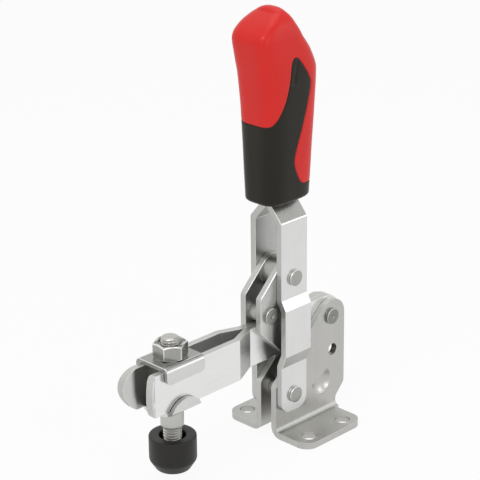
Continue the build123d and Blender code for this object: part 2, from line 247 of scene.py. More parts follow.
def ring_profile(outer: float, inner: float, start: float, end: float, edge: float) -> np.ndarray:
    """Closed half profile of a ring with softened rims, begun halfway along its outside.

    Args:
        outer: Outer radius.
        inner: Radius of the bore.
        start: Station of one end.
        end: Station of the other end.
        edge: Distance from a rim at which its curve begins.

    Returns:
        Radius and station of each point.
    """
    middle = (start + end) / 2
    corners = [(outer, middle), (outer, end), (inner, end), (inner, start), (outer, start), (outer, middle)]
    return rounded(corners, edge)[:-1]


def mark_polish_and_highlight(obj: bpy.types.Object, mask: np.ndarray) -> None:
    """Store the mask of bright edges, worn polish and painted highlight, one value a vertex."""
    layer = obj.data.attributes.new(EDGE_POLISH_HIGHLIGHT_MASK, "FLOAT", "POINT")
    layer.data.foreach_set("value", mask.reshape(-1).astype(np.float32))


def rim_mask(profile: np.ndarray) -> np.ndarray:
    """One at the points where a profile turns sharply outwards, and else zero.

    The turn at a point is the arctangent of the cross over the dot product of the runs beside
    it. It is outward where its sign is that of the area that the profile closes.

    Args:
        profile: Points of the profile.

    Returns:
        The mask, one value a point.
    """
    after = np.roll(profile, -1, axis=0) - profile
    before = np.roll(after, 1, axis=0)
    cross = before[:, 0] * after[:, 1] - before[:, 1] * after[:, 0]
    turn = np.arctan2(cross, (before * after).sum(axis=1))
    following = np.roll(profile, -1, axis=0)
    area = (profile[:, 0] * following[:, 1] - profile[:, 1] * following[:, 0]).sum()
    mask = (turn * np.sign(area) > RIM_TURN).astype(float)
    mask[[0, -1]] = 0
    return mask


def turned(radius: np.ndarray, station: np.ndarray, turn: np.ndarray, centre: Pair, axis: Axis) -> np.ndarray:
    """Points of a turned surface: r cos a and r sin a beside the axis, and the station along it.

    Args:
        radius: The radius r, one row a station and one column, or one for each angle.
        station: Places along the axis.
        turn: The angles a.
        centre: The other two coordinates of the axis: x and z for Y, x and y for Z.
        axis: The axis direction.

    Returns:
        The points, in the units given.
    """
    across = radius * np.cos(turn)[None, :] + centre[0]
    up = radius * np.sin(turn)[None, :] + centre[1]
    along = np.broadcast_to(station[:, None], across.shape)
    return np.stack((across, along, up) if axis is Axis.Y else (across, up, along), axis=-1)


def lathe(
    name: str, profile: np.ndarray, centre: Pair, axis: Axis, segments: int = 64, closed: bool = False
) -> bpy.types.Object:
    """A turned piece, from its half profile.

    Args:
        name: Name of the piece.
        profile: Radius and station along the axis, in millimetres.
        centre: The other two coordinates of the axis, as in turned().
        axis: The axis direction.
        segments: Number of steps round.
        closed: Whether the profile's last point joins its first, as in a ring.

    Returns:
        The piece.
    """
    turn = np.linspace(0, 2 * np.pi, segments, endpoint=False)
    points = turned(profile[:, :1], profile[:, 1], turn, centre, axis)
    make = closed_lathe_faces if closed else wrap_faces
    piece = make_mesh(name, points, make(len(profile), segments), merge=False)
    # Sharp outward rims are marked for worn polish and a painted highlight
    mark_polish_and_highlight(piece, np.broadcast_to(rim_mask(profile)[:, None], points.shape[:2]))
    tidy_mesh(piece.data)
    return piece


def monotone(x: np.ndarray, knots: np.ndarray, values: np.ndarray) -> np.ndarray:
    """Smooth curve through the knots that never overshoots them.

    Cubic Hermite pieces, with the slope at each knot the harmonic mean of the slopes beside
    it, and zero where these differ in sign.

    Args:
        x: Where to read the curve.
        knots: Increasing knots.
        values: Values at the knots.

    Returns:
        Values at x.
    """
    step = np.diff(knots)
    slope = np.diff(values) / step
    product = slope[:-1] * slope[1:]
    total = slope[:-1] + slope[1:]
    inner = np.where(product > 0, 2 * product / np.where(total == 0, 1, total), 0)
    tangent = np.concatenate([slope[:1], inner, slope[-1:]])
    i = np.clip(np.searchsorted(knots, x) - 1, 0, len(step) - 1)
    t = (x - knots[i]) / step[i]
    return (
        (2 * t**3 - 3 * t**2 + 1) * values[i]
        + (t**3 - 2 * t**2 + t) * step[i] * tangent[i]
        + (3 * t**2 - 2 * t**3) * values[i + 1]
        + (t**3 - t**2) * step[i] * tangent[i + 1]
    )


# Shader groups


class Net:
    """A short way to add and join nodes in a material or a node group."""

    def __init__(self, tree: bpy.types.NodeTree) -> None:
        """Keep the tree that the nodes go into."""
        self.tree = tree

    def add(self, kind: str, **values: object) -> bpy.types.Node:
        """Add a node and set its properties or its inputs.

        Args:
            kind: The node's type name.
            values: Property names, or input names with spaces written as underscores.

        Returns:
            The new node.
        """
        node = self.tree.nodes.new(kind)
        for key, value in values.items():
            if hasattr(node, key):
                setattr(node, key, value)
            else:
                self.put(node.inputs[key.replace("_", " ")], value)
        return node

    def put(self, socket: bpy.types.NodeSocket, value: object) -> None:
        """Join another node's output to the socket, or set its plain value.

        Args:
            socket: The input.
            value: An output of another node, or a plain value.
        """
        if isinstance(value, bpy.types.NodeSocket):
            self.tree.links.new(value, socket)
        else:
            socket.default_value = value

    def math(self, operation: str, a: object, b: object) -> bpy.types.NodeSocket:
        """Reckon with two values.

        Args:
            operation: The kind of sum, by its name in capitals.
            a: First value or output.
            b: Second value or output.

        Returns:
            The result.
        """
        node = self.add("ShaderNodeMath", operation=operation)
        self.put(node.inputs[0], a)
        self.put(node.inputs[1], b)
        return node.outputs[0]

    def total(self, *terms: tuple[object, object]) -> bpy.types.NodeSocket:
        """Add values up, each times its share.

        Args:
            terms: A value and its share, for each.

        Returns:
            The sum.
        """
        result = self.math("MULTIPLY", *terms[0])
        for term in terms[1:]:
            result = self.math("ADD", result, self.math("MULTIPLY", *term))
        return result

    def spread(self, value: object, span: Pair, to: Pair) -> bpy.types.NodeSocket:
        """Map a value from one span to another, held at both ends.

        Args:
            value: The value.
            span: The span that it comes from.
            to: The span that it goes to.

        Returns:
            The mapped value.
        """
        node = self.add("ShaderNodeMapRange", Value=value, From_Min=span[0], From_Max=span[1])
        self.put(node.inputs["To Min"], to[0])
        self.put(node.inputs["To Max"], to[1])
        return node.outputs["Result"]

    def mix(self, factor: object, a: object, b: object) -> bpy.types.NodeSocket:
        """Blend two colours by a factor.

        Args:
            factor: How much of the second colour shows, 0 to 1.
            a: First colour.
            b: Second colour.

        Returns:
            The blended colour.
        """
        node = self.add("ShaderNodeMix", data_type="RGBA")
        factor_input, colour_a, colour_b = (node.inputs[place] for place in (0, 6, 7))
        self.put(factor_input, factor)
        self.put(colour_a, a)
        self.put(colour_b, b)
        return node.outputs[2]

    def noise(
        self, vector: object, scale: float, detail: float = 3.0, rough: float = 0.5
    ) -> bpy.types.NodeSocket:
        """The grey value of a noise texture."""
        node = self.add("ShaderNodeTexNoise", Vector=vector, Scale=scale, Detail=detail, Roughness=rough)
        return node.outputs[0]

    def stretched(self, vector: object, scale: Triple) -> bpy.types.NodeSocket:
        """The vector scaled along each axis, to draw a pattern out."""
        return self.add("ShaderNodeMapping", Vector=vector, Scale=scale).outputs[0]


def new_group(name: str, inputs: dict[str, float]) -> tuple[Net, dict, bpy.types.Node]:
    """Start a shader node group that reads a vector and puts out a tone, a gloss and a height.

    Args:
        name: Name of the group.
        inputs: Names and default values of its other inputs.

    Returns:
        The net of the group, its input sockets by name, and its output node.
    """
    tree = bpy.data.node_groups.new(name, "ShaderNodeTree")
    tree.interface.new_socket("Vector", in_out="INPUT", socket_type="NodeSocketVector")
    for key, value in inputs.items():
        socket = tree.interface.new_socket(key, in_out="INPUT", socket_type="NodeSocketFloat")
        socket.default_value = value
    for key in ("Tone", "Gloss", "Height"):
        tree.interface.new_socket(key, in_out="OUTPUT", socket_type="NodeSocketFloat")
    given = tree.nodes.new("NodeGroupInput")
    result = tree.nodes.new("NodeGroupOutput")
    return Net(tree), {socket.name: socket for socket in given.outputs if socket.name}, result


@dataclass(frozen=True)
class Plating:
    """Zinc plating on steel: soft clouds, fine crystals and a few hairline marks.

    Clouds and patches are wide noises. The grain and the hairs are noises drawn out along one
    axis, and the hairs are cut to their peaks. Scales are in waves a metre.
    """

    clouds: float = 45.0
    patches: float = 160.0
    patch_rough: float = 0.55
    grain: Triple = (900.0, 900.0, 35.0)
    hairs: Triple = (60.0, 60.0, 1500.0)
    drawn_rough: float = 0.6
    hair_peaks: Pair = (0.58, 0.74)
    tone_shares: Triple = (0.5, 0.2, 0.3)
    gloss_shares: Pair = (0.7, 0.3)
    hair_tone: float = 0.12
    middle: float = 0.5

    def build(self) -> bpy.types.NodeTree:
        """Make the group, with the strength of its clouds and of its marks as inputs."""
        net, given, result = new_group("zinc_plating", {"Cloud": 0.5, "Marks": 0.5})
        place = given["Vector"]
        clouds = net.noise(place, self.clouds)
        patches = net.noise(place, self.patches, rough=self.patch_rough)
        grain = net.noise(net.stretched(place, self.grain), 1.0, rough=self.drawn_rough)
        peaks = net.noise(net.stretched(place, self.hairs), 1.0, rough=self.drawn_rough)
        hair = net.spread(peaks, self.hair_peaks, (0.0, 1.0))
        cloudy = net.total(*zip((clouds, patches, grain), self.tone_shares))
        tone = net.total((net.math("SUBTRACT", cloudy, self.middle), given["Cloud"]), (1.0, self.middle))
        marked = net.math("MULTIPLY", given["Marks"], self.hair_tone)
        net.put(result.inputs["Tone"], net.math("SUBTRACT", tone, net.math("MULTIPLY", hair, marked)))
        net.put(result.inputs["Gloss"], net.total(*zip((clouds, grain), self.gloss_shares)))
        net.put(result.inputs["Height"], net.total((grain, 1.0), (hair, given["Marks"])))
        return net.tree


@dataclass(frozen=True)
class Moulding:
    """Moulded plastic: an even fine grain, a slow change of tone and a little dust.

    The grain is the distance to the nearest cell centre of a small Voronoi pattern. Scales
    are in waves a metre.
    """

    slow: float = 38.0
    specks: float = 900.0
    speck_detail: float = 2.0
    speck_rough: float = 0.6
    speck_peaks: Pair = (0.66, 0.8)
    slow_gloss: float = 0.7

    def build(self) -> bpy.types.NodeTree:
        """Make the group, with the scale of its grain and the strength of its dust as inputs."""
        net, given, result = new_group("moulded_grain", {"Grain": 1500.0, "Dust": 0.1})
        place = given["Vector"]
        cells = net.add("ShaderNodeTexVoronoi", Vector=place, Scale=given["Grain"])
        slow = net.noise(place, self.slow)
        peaks = net.noise(place, self.specks, self.speck_detail, self.speck_rough)
        specks = net.spread(peaks, self.speck_peaks, (0.0, 1.0))
        net.put(result.inputs["Tone"], net.total((slow, 1.0), (specks, given["Dust"])))
        net.put(result.inputs["Gloss"], net.total((slow, self.slow_gloss), (specks, given["Dust"])))
        net.put(result.inputs["Height"], cells.outputs["Distance"])
        return net.tree


# Finishes


@dataclass(frozen=True)
class Finish:
    """What the finishes share: two colours that the pattern runs between, and a gloss span."""

    name: str
    dark: Triple
    light: Triple
    smooth: float
    rough: float
    bump: float
    gloss_span: Pair = field(default=(0.2, 0.8), kw_only=True)

    def start(self) -> tuple[bpy.types.Material, Net, bpy.types.Node, bpy.types.NodeSocket]:
        """Make the material and its shader, and read the piece's own coordinates.

        Returns:
            The material, its net, its shader and the coordinates.
        """
        material = bpy.data.materials.new(self.name)
        material.use_nodes = True
        net = Net(material.node_tree)
        shader = material.node_tree.nodes["Principled BSDF"]
        return material, net, shader, net.add("ShaderNodeTexCoord").outputs["Object"]

    def dress(self, net: Net, shader: bpy.types.Node, group: bpy.types.Node) -> None:
        """Lead the group's tone, gloss and height to the shader.

        Args:
            net: The net of the material.
            shader: Its shader.
            group: The node of the group.
        """
        tone = net.mix(group.outputs["Tone"], (*self.dark, 1.0), (*self.light, 1.0))
        gloss = net.spread(group.outputs["Gloss"], self.gloss_span, (self.smooth, self.rough))
        net.put(shader.inputs["Base Color"], tone)
        net.put(shader.inputs["Roughness"], gloss)
        height = group.outputs["Height"]
        bump = net.add("ShaderNodeBump", Strength=1.0, Distance=self.bump * MM, Height=height)
        net.put(shader.inputs["Normal"], bump.outputs["Normal"])


@dataclass(frozen=True)
class PlatedSteel(Finish):
    """Zinc-plated steel, with the marks drawn along one axis of the piece."""

    cloud: float = 0.9
    marks: float = 0.4
    turn: Triple = (0.0, 0.0, 0.0)
    # Share of the pale edge colour: worn polish and a painted highlight
    edges: float = 0.0

    def build(self, group: bpy.types.NodeTree) -> bpy.types.Material:
        """Make the material.

        Args:
            group: The plating group.

        Returns:
            The material.
        """
        material, net, shader, place = self.start()
        turned_place = net.add("ShaderNodeMapping", Rotation=self.turn, Vector=place).outputs[0]
        node = net.add("ShaderNodeGroup", node_tree=group, Cloud=self.cloud, Marks=self.marks)
        net.put(node.inputs["Vector"], turned_place)
        shader.inputs["Metallic"].default_value = 1.0
        self.dress(net, shader, node)
        # Masked edges turn pale: worn polish and a painted highlight
        if self.edges:
            mask = net.add("ShaderNodeAttribute", attribute_name=EDGE_POLISH_HIGHLIGHT_MASK).outputs["Fac"]
            tone = shader.inputs["Base Color"].links[0].from_socket
            bright = net.mix(net.math("MULTIPLY", mask, self.edges), tone, POLISH_AND_HIGHLIGHT)
            net.put(shader.inputs["Base Color"], bright)
        return material


@dataclass(frozen=True)
class MouldedPlastic(Finish):
    """Moulded plastic or rubber, with its grain, its dust and the strength of its gloss."""

    grain: float = 1500.0
    dust: float = 0.1
    level: float = 0.5

    def build(self, group: bpy.types.NodeTree) -> bpy.types.Material:
        """Make the material.

        Args:
            group: The moulding group.

        Returns:
            The material.
        """
        material, net, shader, place = self.start()
        node = net.add("ShaderNodeGroup", node_tree=group, Grain=self.grain, Dust=self.dust)
        net.put(node.inputs["Vector"], place)
        shader.inputs["Specular IOR Level"].default_value = self.level
        self.dress(net, shader, node)
        return material


ALONG_X = (0.0, math.pi / 2, 0.0)

CUT_EDGE = PlatedSteel(
    "cut_sheet_edge", (0.40, 0.40, 0.38), (0.66, 0.66, 0.64), 0.30, 0.44, 0.004, cloud=1.3, marks=0.8
)
ROLLED_EDGE = PlatedSteel(
    "rolled_sheet_edge", (0.64, 0.64, 0.63), (0.82, 0.82, 0.81), 0.26, 0.34, 0.001, cloud=1.2
)
# Faces turned to the middle of the clamp: a darker copy of the plating, as painted shade
SHADED_INNER_FACE = PlatedSteel(
    "dull_inner_sheet", (0.38, 0.385, 0.37), (0.60, 0.605, 0.59), 0.30, 0.42, 0.003, cloud=1.2
)
# The arm's faces inside its slot: darker than its outer faces, as painted shade
SHADED_SLOT_WALL = PlatedSteel(
    "bright_inner_sheet", (0.48, 0.485, 0.47), (0.70, 0.705, 0.69), 0.30, 0.42, 0.003, cloud=1.2
)
# Level faces of the foot and upward-looking slopes: a darker copy, as painted shade
PAINTED_SHADE_UP_FACE = PlatedSteel(
    "worn_sheet", (0.30, 0.30, 0.285), (0.54, 0.54, 0.52), 0.22, 0.36, 0.003, cloud=1.5, marks=0.8
)
# Bends and downward-looking slopes: rougher, and darker than the handle as painted shade
BEND_AND_SHADE_FACE = PlatedSteel(
    "dulled_bend_sheet", (0.44, 0.44, 0.425), (0.62, 0.62, 0.60), 0.42, 0.52, 0.003, cloud=1.2
)
BASE_FACE = PlatedSteel("warm_base_sheet", (0.42, 0.415, 0.395), (0.62, 0.615, 0.595), 0.24, 0.34, 0.002)
# The handle and the arm: lighter copies of the base's plating, as painted light
LIT_HANDLE_FACE = PlatedSteel("bright_handle_sheet", (0.64, 0.64, 0.635), (0.86, 0.86, 0.855), 0.20, 0.30, 0.002)
LIT_ARM_FACE = PlatedSteel(
    "bright_arm_sheet", (0.74, 0.74, 0.735), (0.94, 0.94, 0.935), 0.20, 0.30, 0.002, turn=ALONG_X
)
LINK_FACE = PlatedSteel(
    "tumbled_link_sheet", (0.36, 0.36, 0.345), (0.78, 0.78, 0.765), 0.24, 0.40, 0.004, cloud=1.8, marks=0.8
)
WASHER_FACE = PlatedSteel(
    "bright_washer_side", (0.60, 0.60, 0.59), (0.80, 0.80, 0.79), 0.24, 0.34, 0.002, turn=ALONG_X
)
# The washers' top and cut faces: a darker copy of their plating, as painted shade
SHADED_WASHER_TOP = PlatedSteel(
    "worn_washer_top", (0.24, 0.24, 0.225), (0.44, 0.44, 0.42), 0.24, 0.36, 0.002, cloud=1.3
)
RIVET_STEEL = PlatedSteel(
    "turned_rivet_steel", (0.30, 0.30, 0.285), (0.50, 0.50, 0.48), 0.28, 0.40, 0.002, cloud=1.1, edges=0.75
)
DIMPLED_RIVET = PlatedSteel(
    "pressed_rivet_steel", (0.18, 0.18, 0.168), (0.36, 0.36, 0.34), 0.28, 0.40, 0.002, cloud=1.3, edges=0.6
)
SCREW_STEEL = PlatedSteel(
    "plated_screw_steel", (0.34, 0.335, 0.31), (0.62, 0.61, 0.58), 0.22, 0.34, 0.002, cloud=1.3
)
NUT_STEEL = PlatedSteel(
    "forged_nut_steel", (0.24, 0.24, 0.225), (0.46, 0.455, 0.43), 0.16, 0.28, 0.002, cloud=1.4, edges=0.9
)
# The nut's end faces: a darker copy of its steel, as painted shade
SHADED_NUT_END = PlatedSteel(
    "scaled_nut_end", (0.09, 0.09, 0.083), (0.27, 0.267, 0.25), 0.24, 0.36, 0.003, cloud=1.6, edges=0.9
)
COLLAR_STEEL = PlatedSteel(
    "turned_collar_steel", (0.42, 0.42, 0.40), (0.64, 0.64, 0.62), 0.28, 0.40, 0.002, cloud=1.1, edges=0.6
)
GRIP_PLASTIC = MouldedPlastic(
    "red_grip_plastic", (0.70, 0.016, 0.012), (0.80, 0.026, 0.020), 0.32, 0.42, 0.005, level=0.28
)
COVER_PLASTIC = MouldedPlastic(
    "black_grip_cover", (0.011, 0.009, 0.0045), (0.019, 0.016, 0.009), 0.24, 0.34, 0.006, dust=0.3, level=0.24
)
CAP_RUBBER = MouldedPlastic(
    "black_cap_rubber",
    (0.0085, 0.008, 0.0065),
    (0.0175, 0.0165, 0.0145),
    0.38,
    0.5,
    0.015,
    grain=900.0,
    dust=0.6,
    level=0.35,
)


class SheetFace(Enum):
    """The kinds of face of a pressed piece, by the place of their finish in its list."""

    OUTER = 0
    CUT = 1
    ROLLED = 2
    INNER = 3
    WORN = 4
    BENT_OR_SHADED = 5


@dataclass(frozen=True)
class PressedFinish:
    """The finishes of a pressed piece: outer faces and bent or shaded ones, and those that most share."""

    outer: Finish
    bent_or_shaded: Finish
    cut: Finish = CUT_EDGE
    rolled: Finish = ROLLED_EDGE
    # The inner and upward-looking defaults are darker copies of the plating: painted shade
    inner: Finish = SHADED_INNER_FACE
    worn: Finish = PAINTED_SHADE_UP_FACE

    def in_order(self) -> list[Finish]:
        """The finishes in the order of SheetFace."""
        return [getattr(self, kind.name.lower()) for kind in SheetFace]


BASE_SHEET = PressedFinish(BASE_FACE, BEND_AND_SHADE_FACE, inner=BASE_FACE)
HANDLE_SHEET = PressedFinish(LIT_HANDLE_FACE, BEND_AND_SHADE_FACE)
ARM_SHEET = PressedFinish(LIT_ARM_FACE, LIT_ARM_FACE, inner=SHADED_SLOT_WALL)
LINK_SHEET = PressedFinish(LINK_FACE, LINK_FACE)
# The washers' cut and top faces take the darker copy: painted shade
WASHER_SHEET = PressedFinish(WASHER_FACE, WASHER_FACE, cut=SHADED_WASHER_TOP)


@dataclass
class FinishShelf:
    """The finishes in use, each made when a piece first asks for it."""

    plating: bpy.types.NodeTree = field(default_factory=lambda: Plating().build())
    moulding: bpy.types.NodeTree = field(default_factory=lambda: Moulding().build())
    made: dict[str, bpy.types.Material] = field(default_factory=dict)

    def material(self, finish: Finish) -> bpy.types.Material:
        """Take a finish from the shelf, and make it if no piece has asked for it yet.

        Args:
            finish: The finish.

        Returns:
            Its material.
        """
        if finish.name not in self.made:
            group = self.plating if isinstance(finish, PlatedSteel) else self.moulding
            self.made[finish.name] = finish.build(group)
        return self.made[finish.name]


# Dressing


@dataclass
class Workshop:
    """What every sub-assembly needs: the frame's nodes and the finishes.

    The face values are limits of a normal's size along an axis, and the heights are in
    millimetres above the floor.
    """

    nodes: dict[str, bpy.types.Object]
    shelf: FinishShelf
    level_face: float = 0.95
    cut_face: float = 0.15
    foot_height: float = 3.5
    shoulder_face: float = 0.6
    under_face: float = 0.3
    bend_face: float = 0.1
    bend_height: float = 6.5
    edge_steps: int = 2

    def fit(self, piece: bpy.types.Object, body: Body, slot: Slot, finish: Finish, node: str) -> None:
        """Give a new piece its finish and body, and hide the node that it stands for.

        Args:
            piece: The new piece.
            body: The body that it moves with.
            slot: Not used.
            finish: Its finish, or the first of its finishes.
            node: The solid that it stands for.
        """
        piece.data.materials.clear()
        piece.data.materials.append(self.shelf.material(finish))
        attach(piece, body.value)
        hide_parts(node)
        log.info("%s: %d faces on %s", piece.name, len(piece.data.polygons), body.value)

    def pressed(self, node: str, body: Body, sheet: PressedFinish, edge: float = 0.3) -> None:
        """A pressed sheet piece: the solid's own faces, with its sharp edges rolled over.

        The faces of the sheet, the faces that the shears cut, the rolled edges between them,
        the faces turned to the middle of the clamp, upward-looking faces, and bends and
        downward-looking faces each get a finish of their own. Most turned-in, upward and
        downward faces are darker copies of the plating, as painted shade. Flat faces keep even
        normals beside the bends.

        Args:
            node: The solid that is copied and stood for.
            body: The body that it moves with.
            sheet: Its finishes.
            edge: Width of the rolled edge, in millimetres.
        """
        mesh = self.nodes[node].data.copy()
        work = bmesh.new()
        work.from_mesh(mesh)
        bmesh.ops.remove_doubles(work, verts=work.verts, dist=DOUBLE_SOLID_POINT)
        bmesh.ops.dissolve_limit(
            work, angle_limit=FLAT_TURN, verts=work.verts, edges=work.edges, use_dissolve_boundaries=False
        )
        work.to_mesh(mesh)
        work.free()
        mesh.polygons.foreach_set("use_smooth", np.ones(len(mesh.polygons), bool))
        mesh.set_sharp_from_angle(angle=SOFT_TURN)
        piece = bpy.data.objects.new(f"{node}_pressed", mesh)
        bpy.context.scene.collection.objects.link(piece)
        bevel = piece.modifiers.new("rolled_edge", "BEVEL")
        bevel.width = edge * MM
        bevel.segments = self.edge_steps
        bevel.limit_method = "ANGLE"
        bevel.angle_limit = SHARP_TURN
        bevel.harden_normals = True
        bevel.material = SheetFace.ROLLED.value
        even = piece.modifiers.new("even_faces", "WEIGHTED_NORMAL")
        even.keep_sharp = True
        self.fit(piece, body, Slot.SHEET, sheet.outer, node)
        for finish in sheet.in_order()[1:]:
            mesh.materials.append(self.shelf.material(finish))
        mesh.polygons.foreach_set("material_index", self.face_kinds(mesh))

    def face_kinds(self, mesh: bpy.types.Mesh) -> np.ndarray:
        """The finish of each face, by its place in the list of the piece's finishes.

        A face was cut when it stands square to Y, but level faces near the floor are the foot's.
        The foot's level faces and sloping faces that look well upwards share a darker finish,
        as painted shade. The bend above the foot and sloping faces that look downwards share a
        rougher finish, darker on the handle as painted shade. A face is an inner one when it
        looks along Y towards the middle; most pieces darken these as painted shade.

        Args:
            mesh: The plate's mesh.

        Returns:
            The index of each face's finish.
        """
        centres = np.zeros(len(mesh.polygons) * 3)
        mesh.polygons.foreach_get("center", centres)
        _, side, height = centres.reshape(-1, 3).T
        _, outwards, up = face_normals(mesh).T
        across = np.abs(outwards) < self.cut_face
        level = np.abs(up) > self.level_face
        sloping = ~across & ~level
        # Painted shade: upward-looking, downward-looking and inner faces mostly get darker finishes
        worn = (level & (height < self.foot_height * MM)) | (sloping & (up > self.shoulder_face))
        low_bend = (up > self.bend_face) & (height < self.bend_height * MM)
        bent_or_shaded = sloping & ((up < -self.under_face) | low_bend)
        inner = outwards * side < 0
        kinds = (SheetFace.BENT_OR_SHADED.value, SheetFace.WORN.value, SheetFace.CUT.value, SheetFace.INNER.value)
        return np.select((bent_or_shaded, worn, across, inner), kinds, SheetFace.OUTER.value).astype(np.int32)


@dataclass
class Plates:
    """The pressed sheet plates, a left and a right one of each."""

    shop: Workshop

    def build(self) -> None:
        """Dress both plates of the base, the handle, the link and the arm."""
        for side in ("left", "right"):
            self.shop.pressed(f"base_plate_{side}", Body.BASE, BASE_SHEET)
            self.shop.pressed(f"handle_plate_{side}", Body.HANDLE, HANDLE_SHEET)
            self.shop.pressed(f"link_plate_{side}", Body.LINK, LINK_SHEET)
            self.shop.pressed(f"arm_plate_{side}", Body.ARM, ARM_SHEET)


@dataclass
class RivetHead:
    """Sizes of a rivet head, in millimetres."""

    diameter: float = 7.4
    height: float = 1.4
    crown: float = 0.12
    crown_share: float = 0.5
    chamfer: float = 0.5
    chamfer_drop: float = 0.15
    softness: float = 0.3
    dimple: float = 1.7
    dimple_depth: float = 0.5
    dimple_lip: float = 0.35
    dimple_floor: float = 0.4

    def profile(self, face: float, inner: float, shank: float) -> np.ndarray:
        """Half profile from the shank's inner end, round the head, to the centre of its top.

        Args:
            face: Station of the plate face that the head lies on.
            inner: Station where this half begins, on the axis.
            shank: Shank diameter.

        Returns:
            Radius and station of each point.
        """
        half = self.diameter / 2
        top = face + self.height
        corners = [(shank / 2, inner), (shank / 2, face), (half, face)]
        corners += [(half, top - self.chamfer_drop), (half - self.chamfer, top)]
        if self.dimple:
            rim = self.dimple / 2
            floor = top - self.dimple_depth
            corners += [(rim + self.dimple_lip, top + self.crown), (rim, top)]
            corners += [(rim * self.dimple_floor, floor), (0.0, floor)]
        else:
            corners += [(half * self.crown_share, top + self.crown), (0.0, top + self.crown)]
        return rounded(corners, self.softness)


@dataclass
class Riveting:
    """All rivets, tubes and bushes of the linkage, in millimetres."""

    shop: Workshop
    shank: float = 5.0
    press_play: float = 0.04
    running_play: float = 0.1
    tube_rim: float = 0.3
    pin_rim: float = 0.2
    head: RivetHead = field(default_factory=RivetHead)
    plain_head: RivetHead = field(default_factory=lambda: RivetHead(dimple=0.0))
    low_head: RivetHead = field(
        default_factory=lambda: RivetHead(diameter=6.0, height=0.6, dimple=0.0, crown=0.05)
    )

    def axis_of(self, node: str) -> Pair:
        """The x and z of a turned node's axis, from the middle of its box."""
        low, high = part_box(node)
        middle = (low + high) / 2 / MM
        return middle.x, middle.z

    def reach(self, node: str) -> Pair:
        """The lowest and highest y of a node."""
        low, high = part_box(node)
        return low.y / MM, high.y / MM

    def turn(self, node: str, body: Body, profile: np.ndarray, finish: Finish, closed: bool = False) -> None:
        """Make a node's piece by turning a profile, and fit it.

        Args:
            node: The solid that it stands for.
            body: Its body.
            profile: Its half profile.
            finish: Its finish.
            closed: Whether the profile closes, as in a ring.
        """
        piece = lathe(f"{node}_turned", profile, self.axis_of(node), Axis.Y, closed=closed)
        self.shop.fit(piece, body, Slot.RIVET, finish, node)

    def through(self, node: str, body: Body, head: RivetHead) -> None:
        """A rivet through the whole stack: its half profile and the mirror image of it.

        Args:
            node: The rivet.
            body: Its body.
            head: Its head on both sides.
        """
        _, high = self.reach(node)
        right = head.profile(high - head.height, 0.0, self.shank)
        left = right[::-1] * np.array([1.0, -1.0])
        whole = np.concatenate([left, right[1:]])
        self.turn(node, body, whole, DIMPLED_RIVET if head.dimple else RIVET_STEEL)

    def end_length(self, node: str, body: Body, head: RivetHead) -> None:
        """The outer end of a rivet made in lengths, closed on its inner face.

        Args:
            node: The rivet end, on either side.
            body: Its body.
            head: Its head.
        """
        low, high = self.reach(node)
        side = 1.0 if high > -low else -1.0
        inner, outer = sorted((abs(low), abs(high)))
        half = head.profile(outer - head.height, inner, self.shank)
        self.turn(node, body, np.concatenate([[[0.0, inner]], half]) * np.array([1.0, side]), RIVET_STEEL)

    def tube(self, node: str, body: Body, play: float) -> None:
        """A spacer tube with softened rims.

        Args:
            node: The tube.
            body: Its body.
            play: By how much its bore is wider than the shank.
        """
        profile = ring_profile(radius_of(node), (self.shank + play) / 2, *self.reach(node), self.tube_rim)
        self.turn(node, body, profile, RIVET_STEEL, closed=True)

    def pin(self, node: str, body: Body) -> None:
        """A plain pin with softened ends.

        Args:
            node: The pin.
            body: Its body.
        """
        radius = radius_of(node)
        start, end = self.reach(node)
        corners = [(0.0, start), (radius, start), (radius, end), (0.0, end)]
        self.turn(node, body, rounded(corners, self.pin_rim), RIVET_STEEL)

    def build(self) -> None:
        """Make every turned piece of the linkage."""
        self.through("arm_pivot_rivet", Body.BASE, self.head)
        self.through("stop_rivet", Body.LINK, self.head)
        self.through("handle_pivot_rivet", Body.HANDLE, self.plain_head)
        for side in ("left", "right"):
            self.end_length(f"handle_link_rivet_{side}", Body.HANDLE, self.plain_head)
            self.end_length(f"link_arm_rivet_{side}", Body.LINK, self.low_head)
        self.tube("arm_pivot_bush", Body.BASE, self.press_play)
        self.tube("base_spacer_tube", Body.BASE, self.running_play)
        self.tube("link_top_spacer", Body.LINK, self.press_play)
        self.tube("stop_tube", Body.LINK, self.press_play)
        self.pin("link_top_pin", Body.LINK)
        self.pin("link_arm_bush", Body.ARM)


@dataclass
class ScrewThread:
    """A 60 degree screw thread, in millimetres, with its flats as shares of the pitch."""

    major: float = 8.0
    pitch: float = 1.25
    depth: float = 0.68
    crest: float = 0.125
    root: float = 0.1875

    def radius(self, turn: np.ndarray, height: np.ndarray) -> np.ndarray:
        """Radius of the thread: a wave of the height less the turn, cut flat at crest and root.

        The phase p runs 0 to 1 over one pitch. The tooth is |2p - 1|, stretched and held
        between 0 and 1 so that crest and root are flat.

        Args:
            turn: Angle round the axis, in radians.
            height: Height along the axis, in millimetres.

        Returns:
            The radius, in millimetres.
        """
        phase = np.mod(height / self.pitch - turn / (2 * np.pi), 1.0)
        tooth = np.abs(2 * phase - 1)
        shaped = np.clip((tooth - self.crest) / (1 - self.crest - self.root), 0, 1)
        return self.major / 2 - self.depth * (1 - shaped)


